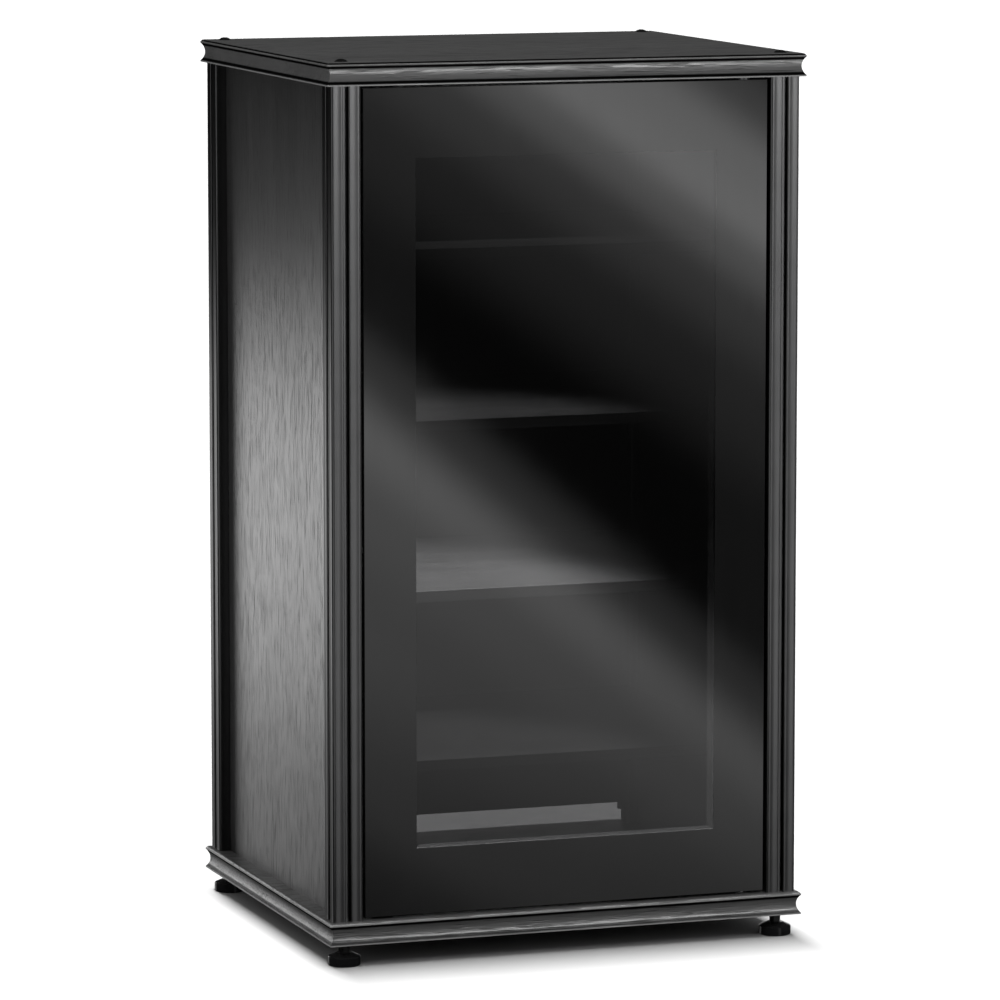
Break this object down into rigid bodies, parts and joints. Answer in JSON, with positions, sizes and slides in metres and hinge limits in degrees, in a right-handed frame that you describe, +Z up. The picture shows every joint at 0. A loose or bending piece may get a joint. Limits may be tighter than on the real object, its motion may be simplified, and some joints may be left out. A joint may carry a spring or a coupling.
{
  "type": "media cabinet",
  "caption": "Tall black audio rack cabinet: slotted aluminium corner posts, moulded oak top and base, shelves, swinging smoked-glass door and screw feet.",
  "frame": {"origin": "centre of the footprint, on the floor under the feet", "axes": "+Z up, the door faces -Y, +X to the right seen from the front"},
  "size_m": [0.587, 0.511, 1.0529],
  "materials": {
    "black_oak": "black-stained open-grain oak veneer, satin",
    "anodised_post": "black anodised extrusion, satin",
    "anodised_rail": "black anodised, satin",
    "door_frame_black": "black lacquered, semi-gloss",
    "smoked_glass": "polished, tinted grey",
    "black_steel": "black oxide, satin",
    "plated_steel": "zinc plated",
    "spring_steel": "bright wire",
    "bush_nylon": "black nylon",
    "latch_plastic": "moulded, matt",
    "foot_plastic": "moulded, semi-gloss",
    "stop_rubber": "soft, matt",
    "beech_dowel": "plain beech"
  },
  "bodies": {
    "cabinet": {"bottom_board": "black_oak", "door_stop": "latch_plastic", "door_stop_pad": "stop_rubber", "foot_inserts": "plated_steel", "latch_housing": "latch_plastic", "latch_screws": "black_steel", "latch_spring": "spring_steel", "lower_pivot_bush": "bush_nylon", "post_front_left": "anodised_post", "post_front_right": "anodised_post", "post_rear_left": "anodised_post", "post_rear_right": "anodised_post", "rear_panel": "black_oak", "rear_panel_clips": "black_steel", "shelf_1": "black_oak", "shelf_2": "black_oak", "shelf_3": "black_oak", "shelf_4": "black_oak", "shelf_rail_1_left": "anodised_rail", "shelf_rail_1_right": "anodised_rail", "shelf_rail_2_left": "anodised_rail", "shelf_rail_2_right": "anodised_rail", "shelf_rail_3_left": "anodised_rail", "shelf_rail_3_right": "anodised_rail", "shelf_rail_4_left": "anodised_rail", "shelf_rail_4_right": "anodised_rail", "shelf_rail_screws": "black_steel", "side_panel_left": "black_oak", "side_panel_right": "black_oak", "top_board": "black_oak", "top_screws": "black_steel", "upper_pivot_bush": "bush_nylon"},
    "door": {"door_glass": "smoked_glass", "door_stile_left": "door_frame_black", "door_stile_right": "door_frame_black", "door_rail_top": "door_frame_black", "door_rail_bottom": "door_frame_black", "door_dowels": "beech_dowel", "lower_pivot_pin": "plated_steel", "upper_pivot_pin": "plated_steel", "strike_plate": "black_steel"},
    "latch_plunger": {"latch_plunger": "latch_plastic"},
    "foot_pad_front_left": {"foot_pad_front_left": "foot_plastic"},
    "foot_stem_front_left": {"foot_stem_front_left": "black_steel"},
    "foot_pad_front_right": {"foot_pad_front_right": "foot_plastic"},
    "foot_stem_front_right": {"foot_stem_front_right": "black_steel"},
    "foot_pad_rear_left": {"foot_pad_rear_left": "foot_plastic"},
    "foot_stem_rear_left": {"foot_stem_rear_left": "black_steel"},
    "foot_pad_rear_right": {"foot_pad_rear_right": "foot_plastic"},
    "foot_stem_rear_right": {"foot_stem_rear_right": "black_steel"}
  },
  "joints": [
    {"name": "door_swing", "type": "hinge", "parent": "cabinet", "child": "door", "pos_m": [0.2233, -0.2344, 0.05], "axis": [0, 0, 1], "range_deg": [0, 110]},
    {"name": "latch_press", "type": "slide", "parent": "cabinet", "child": "latch_plunger", "axis": [0, 1, 0], "range_m": [0, 0.0035], "stiffness_N_per_m": 400, "springref_m": -0.002},
    {"name": "foot_travel_front_left", "type": "slide", "parent": "cabinet", "child": "foot_pad_front_left", "axis": [0, 0, -1], "range_m": [0, 0.01]},
    {"name": "foot_turn_front_left", "type": "hinge", "parent": "foot_pad_front_left", "child": "foot_stem_front_left", "pos_m": [-0.2695, -0.2315, 0.03], "axis": [0, 0, 1], "range_deg": [0, 2401]},
    {"name": "foot_travel_front_right", "type": "slide", "parent": "cabinet", "child": "foot_pad_front_right", "axis": [0, 0, -1], "range_m": [0, 0.01]},
    {"name": "foot_turn_front_right", "type": "hinge", "parent": "foot_pad_front_right", "child": "foot_stem_front_right", "pos_m": [0.2695, -0.2315, 0.03], "axis": [0, 0, 1], "range_deg": [0, 2401]},
    {"name": "foot_travel_rear_left", "type": "slide", "parent": "cabinet", "child": "foot_pad_rear_left", "axis": [0, 0, -1], "range_m": [0, 0.01]},
    {"name": "foot_turn_rear_left", "type": "hinge", "parent": "foot_pad_rear_left", "child": "foot_stem_rear_left", "pos_m": [-0.2695, 0.2315, 0.03], "axis": [0, 0, 1], "range_deg": [0, 2401]},
    {"name": "foot_travel_rear_right", "type": "slide", "parent": "cabinet", "child": "foot_pad_rear_right", "axis": [0, 0, -1], "range_m": [0, 0.01]},
    {"name": "foot_turn_rear_right", "type": "hinge", "parent": "foot_pad_rear_right", "child": "foot_stem_rear_right", "pos_m": [0.2695, 0.2315, 0.03], "axis": [0, 0, 1], "range_deg": [0, 2401]}
  ],
  "couplings": [
    {"joint": "foot_turn_front_left", "follows": "foot_travel_front_left", "rad_per_m": 4188.8},
    {"joint": "foot_turn_front_right", "follows": "foot_travel_front_right", "rad_per_m": 4188.8},
    {"joint": "foot_turn_rear_left", "follows": "foot_travel_rear_left", "rad_per_m": 4188.8},
    {"joint": "foot_turn_rear_right", "follows": "foot_travel_rear_right", "rad_per_m": 4188.8}
  ]
}
